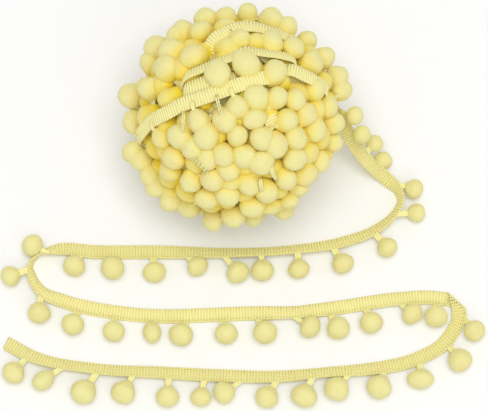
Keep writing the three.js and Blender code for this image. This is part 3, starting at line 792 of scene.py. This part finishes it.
# The outer pompoms, row by row. A row that says so is of fuller ones.
SHELL = 0.0433  # where their middles lie
RIM_REACH = 0.047  # the furthest out that one of them stands, seen from over the crown
BALL_FRINGE = [
    {"run": "back rim", "east": (42.1, 37, 29.8, 20.8, 14, 4.3, -5.1, -13.6, -23, -26.1, -34.9),
     "north": (16.6, 25.1, 32.3, 37.4, 40.4, 44.2, 42.5, 40.8, 36.1, 33.7, 29.3)},
    {"run": "left rim", "east": (-37.4, -37.8, -45.5, -44.2, -46.3, -41.7, -36.6, -34.9, -30.6, -20.8),
     "north": (23, 11.9, 8.5, -2.6, -16.2, -19.1, -25.1, -30.2, -38.3, -38.7)},
    {"run": "front and right rim", "east": (-10.2, -1.7, 7.2, 19.6, 26.4, 34.9, 40.8, 41.2, 43.8),
     "north": (-43.8, -42.1, -43.4, -39.1, -30.6, -19.1, -11.1, -3, 11.1)},
    {"run": "under the back band", "east": (-15.7, 1, 14.6, 23.4, 31.6),
     "north": (36.1, 33, 31.6, 28.8, 23)},
    {"run": "round the middle band", "swell": 1.13, "east": (-28.1, -30.2, -18.9, -8.5, 3.8, 16.2),
     "north": (27.6, 20.3, 25.9, 18, 21.9, 18.7)},
    {"run": "under the front band", "east": (-32.7, -24.7, -16.6, -5.5, 0, 8.1, 17, 24.7, 33.2),
     "north": (-9.8, -8.9, -2.1, -1.7, 3.8, 7.7, 7.7, 7.2, 11.1)},
    {"run": "second below the band", "east": (-13.2, 0, 7.2, 21.3, 29.3, 38.7),
     "north": (-8.5, -8.5, -1.3, -2.1, 0.9, 4.3)},
    {"run": "third below the band", "east": (-18.7, 10.2, 16.2, 24.7, 33.6),
     "north": (-13.6, -9.4, -12.3, -9.4, -5.1)},
    {"run": "fourth below the band", "east": (-27.6, -12.8, -6, 3, 10.2, 24.2),
     "north": (-17.9, -17.9, -16.6, -17.4, -19.6, -17.9)},
    {"run": "fifth below the band", "east": (-29.3, -20, -10.6, -4.3, 4.7, 20.4, 28.9),
     "north": (-23.8, -27.6, -26.8, -23, -28.9, -26.4, -24.7)},
    {"run": "lowest in front", "east": (-28.9, -12.8, -4.3, 6.4, 12.3, 21.7, 14),
     "north": (-32.3, -34.4, -33.2, -38.3, -31.9, -35.3, -38.7)},
]
POMPOM_SIZE = (0.0094, 0.0112)
POMPOM_OUT = (-0.0012, 0.0006)  # how far one stands out of the shell
POMPOM_ACROSS = (0.94, 1.08)  # shares of its size
POMPOM_ALONG = (1.02, 1.16)
POMPOM_DEEP = (0.92, 1.0)
BALL_TINT = 0.12
RIM_SWELL = 0.93
RIM_STRETCH = 1.2  # outwards

# The even cover of the far side, which reaches a little above the rim. It is pressed in at the front right
# and at the back left: how far out its tips stand in millimetres, by bearing in degrees.
FAR_SIDE = 0.006
FAR_REACH = {
    "bearing": (0, 40, 90, 130, 155, 180, 210, 240, 270, 300, 320, 345, 360),
    "reach": (44.5, 43, 44, 44.5, 42.5, 44.5, 46.5, 47.5, 47, 45.5, 42.5, 43, 44.5),
}
TIP_HEIGHT = 0.0053  # of a pompom's tip over its middle
FAR_FADE = 0.03  # the pressing in has gone this far below the rim
WAY_OUT = (0, 0.006, 0.012)  # along the loose tape, where it comes out of the ball
SPARE_PLACES = 6000  # places that are tried for these pompoms and for the half hidden ones
CLOSE_PACKED = 0.0092  # least distance between their middles
BAND_CLEARANCE = 0.007
BAND_STRIDE = 6  # every so many places of a band are enough to keep clear of it
UNDER_SHELL = 0.0398  # where the middles of the half hidden pompoms lie
UNDER_GAP = 0.0062  # no outer pompom is nearer to them than this

# The last turns of tape, seen from over the crown. Some are sunk into the ball or stand off it, and some
# are tipped from facing outwards, by so many degrees at their start and at their end.
BAND_RADIUS = 0.0438
BANDS_SEEN = [
    {"east": (-42.8, -40.4, -35.6, -29.6, -23.7, -17.7, -11.7, -5.7, 0.2, 6.2, 11, 16.5),
     "north": (-10.5, -6.5, -1.7, 1.5, 4.8, 6.9, 9, 11.1, 13.2, 15, 16.2, 17.2)},
    {"east": (-25.8, -20.7, -14.7, -8.7, -2.8, 3.2, 9.8, 18.1, 24.1, 27.7),
     "north": (15, 17.7, 20.2, 22.7, 24.9, 27.8, 26.9, 25.7, 23.9, 21.2), "tip": (28, 18)},
    {"east": (-25.5, -19.1, -12.8, -6.5, 1.5), "north": (9.8, 12.4, 14.6, 15.7, 17),
     "sunk": 1.2, "tip": (5, 5)},
    {"east": (-13.6, -6.4, 0, 4.9, 9.3, 15, 20, 26.3),
     "north": (30.2, 34.3, 37.2, 37.8, 37.2, 35.6, 33.7, 32.3), "tip": (-34, 8)},
    {"east": (19.5, 21.7, 27.1, 33.1, 37.8, 40.2), "north": (21.5, 20.6, 17.7, 14.7, 11.1, 7.5),
     "sunk": -0.6},
    {"east": (11.8, 13.5, 15.2, 16.8), "north": (3.5, 0, -3.5, -6.5), "sunk": 0.8},
]
# Two more go round the sides, by bearing and by rise above the rim, in degrees.
BANDS_ROUND = [
    {"bearing": (52, 76, 100, 126), "rise": (-22, -12, -14, -26)},
    {"bearing": (318, 338, 358, 18), "rise": (-30, -18, -14, -20)},
]
DIVE = 0.005  # how far the ends of the last turns are tucked into the ball
DIVE_RUN = 0.007

# A stem runs from its pompom to a band near by, and otherwise a short way down beside the pompom.
STEM_SPAN = 0.0098  # a pompom this near to a band hangs from it
STEM_ON_BAND = 0.0007  # how far over the middle of the band its stem starts
STEM_SHOWN = 0.0035  # how far out of the pompom other stems reach
STEM_SINK = 0.0035  # and how far down
STEM_APART = 0.0004  # half the way between a stem's two threads
STEM_GATHER = 0.8
STEM_INTO = 0.36  # how near the pompom's edge it ends, as a share of the pompom's size
STEM_OVER = 0.12  # and how far over its middle
BOW_TO_BAND = 0.0009
BOW_SHORT = 0.0004
# Long stems, which lie over other pompoms, seen from over the crown.
LONG_STEM_ENDS = 0.0455  # how far from the ball's middle they start and end, and how far out they bow
LONG_STEM_BOW = 0.0482
LONG_STEMS = [
    {"from": (-9, 9.3), "over": (-7.5, 3), "to": (-5.7, -1)},
    {"from": (-23.2, 2), "over": (-23.2, -2.5), "to": (-24, -8.5)},
    {"from": (-21.1, -17.7), "over": (-16.5, -20.3), "to": (-11.8, -26.2)},
    {"from": (15.2, -20.8), "over": (14.8, -23.5), "to": (16.8, -27.2)},
    {"from": (9.8, -26.5), "over": (10, -29.2), "to": (10.6, -32.5)},
]

# The core: turns of tape on a plain round, each a little further out, and pompoms caught between them.
CORE_RADIUS = 0.036
CORE_LEAST = 0.0004  # how far the lowest turn is over that
CORE_RISE = 0.0035  # from the lowest turn to the highest
CORE_TURNS = 16
CORE_TINT = 0.1
TURN_POINTS = 64
CORE_SHELL = 0.0382
CORE_POMPOMS = 130
CORE_SIZE = (0.0085, 0.0105)
CAUGHT_TINT = (-0.1, 0.2)
CORE_SHAPES = 4
CORE_DETAIL = 3

# Painted golden shade: the colour goes to the painted shade from here inwards, as the light does deep in the
# ball. Some pieces take less of it.
PAINTED_SHADE_FROM = 0.0465
PAINTED_SHADE_RUN = 0.006
PAINTED_SHADE_SHARE = {"bands": 0, "core_tape": 0.3, "ball_rim": 0.55, "ball_far_side": 0.55}

GOLDEN_TURN = math.pi * (3 - math.sqrt(5))
ball_middle = UP * BALL_HEIGHT
east = np.array((1.0, 0.0, 0.0))
north = np.array((0.0, math.cos(CROWN_TIP), math.sin(CROWN_TIP)))
crown = np.array((0.0, -math.sin(CROWN_TIP), math.cos(CROWN_TIP)))


def from_crown(x, y, radius):
    """A place on the ball that shows at x and y, in mm, from the camera, which sees near things larger."""
    x, y = x / MM, y / MM
    out = math.hypot(x, y)
    height = math.sqrt(max(radius ** 2 - out ** 2, 0))
    kept = min(1, RIM_REACH / max(out, 1e-6)) * (1 - height / CAMERA_DISTANCE)
    return east * x * kept + north * y * kept + crown * height


def round_the_rim(bearing, rise):
    """The direction at this bearing and this rise above the rim, both in degrees."""
    turn, lift = math.radians(bearing), math.radians(rise)
    return (east * math.cos(turn) * math.cos(lift) + north * math.sin(turn) * math.cos(lift)
            + crown * math.sin(lift))


def even_directions(count):
    """Directions spread evenly all round."""
    i = np.arange(count)
    z = 1 - (2 * i + 1) / count
    out = np.sqrt(1 - z * z)
    return np.column_stack((out * np.cos(GOLDEN_TURN * i), out * np.sin(GOLDEN_TURN * i), z))


def course_round(points, radius, tip=(0.0, 0.0), dive=0.0):
    """A course for tape round the ball through these points, tipped, and with its ends tucked in."""
    line = unit(smooth_run(np.asarray(points)))
    from_end = np.minimum(np.arange(len(line)), np.arange(len(line))[::-1]) * SAMPLE
    line = line * (radius - dive * np.clip(1 - from_end / DIVE_RUN, 0, 1) ** 2)[:, None]
    tip = np.linspace(*tip, len(line))[:, None]
    ends = np.vstack((2 * line[:1] - line[1:2], line, 2 * line[-1:] - line[-2:-1]))
    heading = unit(ends[2:] - ends[:-2])
    out = unit(line)
    face = unit(np.cross(heading, np.cross(out, heading)))
    face = np.cos(tip) * face + np.sin(tip) * np.cross(face, heading)
    cross = np.cross(face, heading)
    return course_of({"middle": line + ball_middle, "heading": heading, "cross": cross, "face": face})


bands = []
for row in BANDS_SEEN:
    radius = BAND_RADIUS - row.get("sunk", 0) / MM
    line = [from_crown(x, y, radius) for x, y in zip(row["east"], row["north"])]
    bands.append(course_round(line, radius, np.radians(row.get("tip", (0, 0))), DIVE))
for row in BANDS_ROUND:
    line = [BAND_RADIUS * round_the_rim(b, r) for b, r in zip(row["bearing"], row["rise"])]
    bands.append(course_round(line, BAND_RADIUS, dive=DIVE))
band_line = np.vstack([band["middle"] for band in bands])
band_places = np.vstack([band["middle"][::BAND_STRIDE] for band in bands]) - ball_middle


def distance_to(points, others):
    return np.linalg.norm(points[:, None] - others[None], axis=2).min(axis=1)


def pressed_in(middle):
    """The place of a far pompom where the ball is pressed in."""
    bearing = math.degrees(math.atan2(middle @ north, middle @ east)) % 360
    reach = np.interp(bearing, FAR_REACH["bearing"], FAR_REACH["reach"]) / MM - TIP_HEIGHT
    share = min(max(1 + middle @ crown / FAR_FADE, 0), 1)
    return middle * (1 - share * (1 - reach / SHELL))


def spread_out(places, taken):
    """Those of the places, tried in turn, that keep clear of the taken ones and of one another."""
    kept = list(taken)
    for place in places:
        if not kept or np.linalg.norm(np.array(kept) - place, axis=1).min() > CLOSE_PACKED:
            kept.append(place)
    return kept[len(taken):]


def far_pompoms(seen):
    """Middles that cover the far side evenly, clear of the bands and of the way out of the loose tape."""
    way_out = on_course(loose_course, "middle", WAY_OUT) - ball_middle
    spare = even_directions(SPARE_PLACES) * SHELL
    clear = distance_to(spare, np.vstack((band_places, way_out))) > BAND_CLEARANCE
    spare = spare[(spare @ crown < FAR_SIDE) & clear]
    downwards = np.argsort(-(spare @ crown), kind="stable")
    return [pressed_in(place) for place in spread_out(spare[downwards], seen)]


def half_hidden(seen):
    """Middles of a deeper layer of pompoms, which fill most of the gaps between the seen ones."""
    spare = even_directions(SPARE_PLACES) * UNDER_SHELL
    spare = spare[(spare @ crown > FAR_SIDE) & (distance_to(spare, band_places) > BAND_CLEARANCE)]
    gap = distance_to(unit(spare), unit(np.array(seen))) * SHELL
    widest = np.argsort(-gap, kind="stable")[:np.count_nonzero(gap > UNDER_GAP)]
    return spread_out(spare[widest], [])


def spool_turn(normal, radius):
    """A course right round the ball, square to a direction."""
    one = unit(np.cross(normal, ASKEW))
    two = np.cross(normal, one)
    turn = np.linspace(0, 2 * np.pi, TURN_POINTS)[:, None]
    return course_round(one * np.cos(turn) + two * np.sin(turn), radius)


def plain_tape(name, course, rounded):
    """The whole width of the tape, with no wales, all along a course."""
    return ribbed_tape(name, course, 0, course["at"][-1], -TAPE_WIDTH / 2, TAPE_WIDTH / 2, rounded, ())


dice = random.Random("ball")
points, faces = pile_shapes(PILE_DETAIL, 0, 1)[0]
core = [mesh_of("core", [(unit(points) * CORE_RADIUS + ball_middle, faces)], [CORE_TINT], TAPE_FINISH)]
for k, normal in enumerate(even_directions(2 * CORE_TURNS)[::2]):
    turn = spool_turn(normal, CORE_RADIUS + CORE_LEAST + CORE_RISE * k / CORE_TURNS)
    core.append(plain_tape("spool_turn", turn, "plain"))
core_tape = joined("core_tape", core)

bare_pile = pile_shapes(CORE_DETAIL, 0, CORE_SHAPES)
caught = []
for direction in even_directions(CORE_POMPOMS):
    size = dice.uniform(*CORE_SIZE)
    stem = any_way_off(direction, dice)
    middle = direction * CORE_SHELL + ball_middle
    caught.append(pompom(bare_pile, dice, middle, stem, direction, size, size, size))
core_pile = mesh_of("core_pompoms", caught, [dice.uniform(*CAUGHT_TINT) for _ in caught], PILE_FINISH)

last_turns = joined("bands", [plain_tape("band", band, "both") for band in bands])
ball_threads = []


def two_threads(start, end, beside, gather, bow):
    """A stem of two threads side by side, which come closer towards its end, added to the ball's others."""
    for step in (-STEM_APART, STEM_APART):
        ball_threads.append(thread(start + beside * step, end + beside * step * gather, bow))


def ball_stem(place, out, size):
    """Makes a pompom's stem, to a band close by or a short way off, and tells which way it leaves."""
    gaps = np.linalg.norm(band_line - place, axis=1)
    near = int(gaps.argmin())
    hold = place + any_way_off(out, dice) * (size / 2 + STEM_SHOWN) - out * STEM_SINK
    bow = BOW_SHORT
    if gaps[near] < STEM_SPAN:
        hold = band_line[near] + unit(band_line[near] - ball_middle) * STEM_ON_BAND
        bow = BOW_TO_BAND
    stem = unit(hold - place)
    end = place + stem * size * STEM_INTO + out * size * STEM_OVER
    two_threads(hold, end, unit(np.cross(stem, out)), STEM_GATHER, out * bow)
    return stem


for row in LONG_STEMS:
    start, end = (from_crown(*row[key], LONG_STEM_ENDS) for key in ("from", "to"))
    over = from_crown(*row["over"], LONG_STEM_BOW)
    two_threads(start + ball_middle, end + ball_middle, unit(np.cross(end - start, over)), 1,
                over - (start + end) / 2)


def cover(middles, shapes, stems=True, swell=1.0, stretch=1.0):
    """Some of the ball's outer pompoms, each a little different in size, place and shape."""
    made = []
    for middle in middles:
        out = unit(middle)
        size = dice.uniform(*POMPOM_SIZE) * swell
        place = middle + out * dice.uniform(*POMPOM_OUT) + ball_middle
        stem = ball_stem(place, out, size) if stems else any_way_off(out, dice)
        across = size * dice.uniform(*POMPOM_ACROSS)
        along = size * dice.uniform(*POMPOM_ALONG)
        made.append(pompom(shapes, dice, place, stem, out, across, along,
                           size * stretch * dice.uniform(*POMPOM_DEEP)))
    return made


def pile_piece(name, made):
    tints = [dice.uniform(-BALL_TINT, BALL_TINT) for _ in made]
    return mesh_of(name, made, tints, PILE_FINISH, smooth_faces=PILE_FACES)


rim, seen, crown_pompoms = [], [], []
for row in BALL_FRINGE:
    middles = [from_crown(x, y, SHELL) for x, y in zip(row["east"], row["north"])]
    if row["run"].endswith("rim"):
        rim += middles
    else:
        seen += middles
        crown_pompoms += cover(middles, FULL_PILE, swell=row.get("swell", 1.0))
crown_pompoms += cover(half_hidden(seen + rim), THIN_PILE, stems=False)
ball_crown = pile_piece("ball_crown", crown_pompoms)
ball_rim = pile_piece("ball_rim", cover(rim, FULL_PILE, swell=RIM_SWELL, stretch=RIM_STRETCH))
ball_far_side = pile_piece("ball_far_side", cover(far_pompoms(rim + seen), THIN_PILE))
tints = [dice.uniform(-TINT, TINT) for _ in ball_threads]
ball_stems = mesh_of("ball_stems", ball_threads, tints, TAPE_FINISH)
ball_pieces = [
    (core_tape, "woven_tape"), (last_turns, "woven_tape"), (core_pile, "pompom_pile"),
    (ball_crown, "pompom_pile"), (ball_rim, "pompom_pile"), (ball_far_side, "pompom_pile"),
    (ball_stems, "woven_tape"),
]
for piece, slot in ball_pieces:
    # painted golden shade, more of it the deeper a point lies in the ball, kept where a piece already has
    # more of its own
    reach = np.linalg.norm(points_of(piece) - ball_middle, axis=1)
    painted_shade = (PAINTED_SHADE_FROM - reach) / PAINTED_SHADE_RUN * PAINTED_SHADE_SHARE.get(piece.name, 1.0)
    marked = piece.data.attributes.get("painted_shade")
    if marked:
        own = np.empty(len(painted_shade))
        marked.data.foreach_get("value", own)
        piece.data.attributes.remove(marked)
        painted_shade = np.maximum(own, painted_shade)
    mark(piece, "painted_shade", np.clip(painted_shade, 0, 1))
    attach(piece, "root")
    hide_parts("ball")
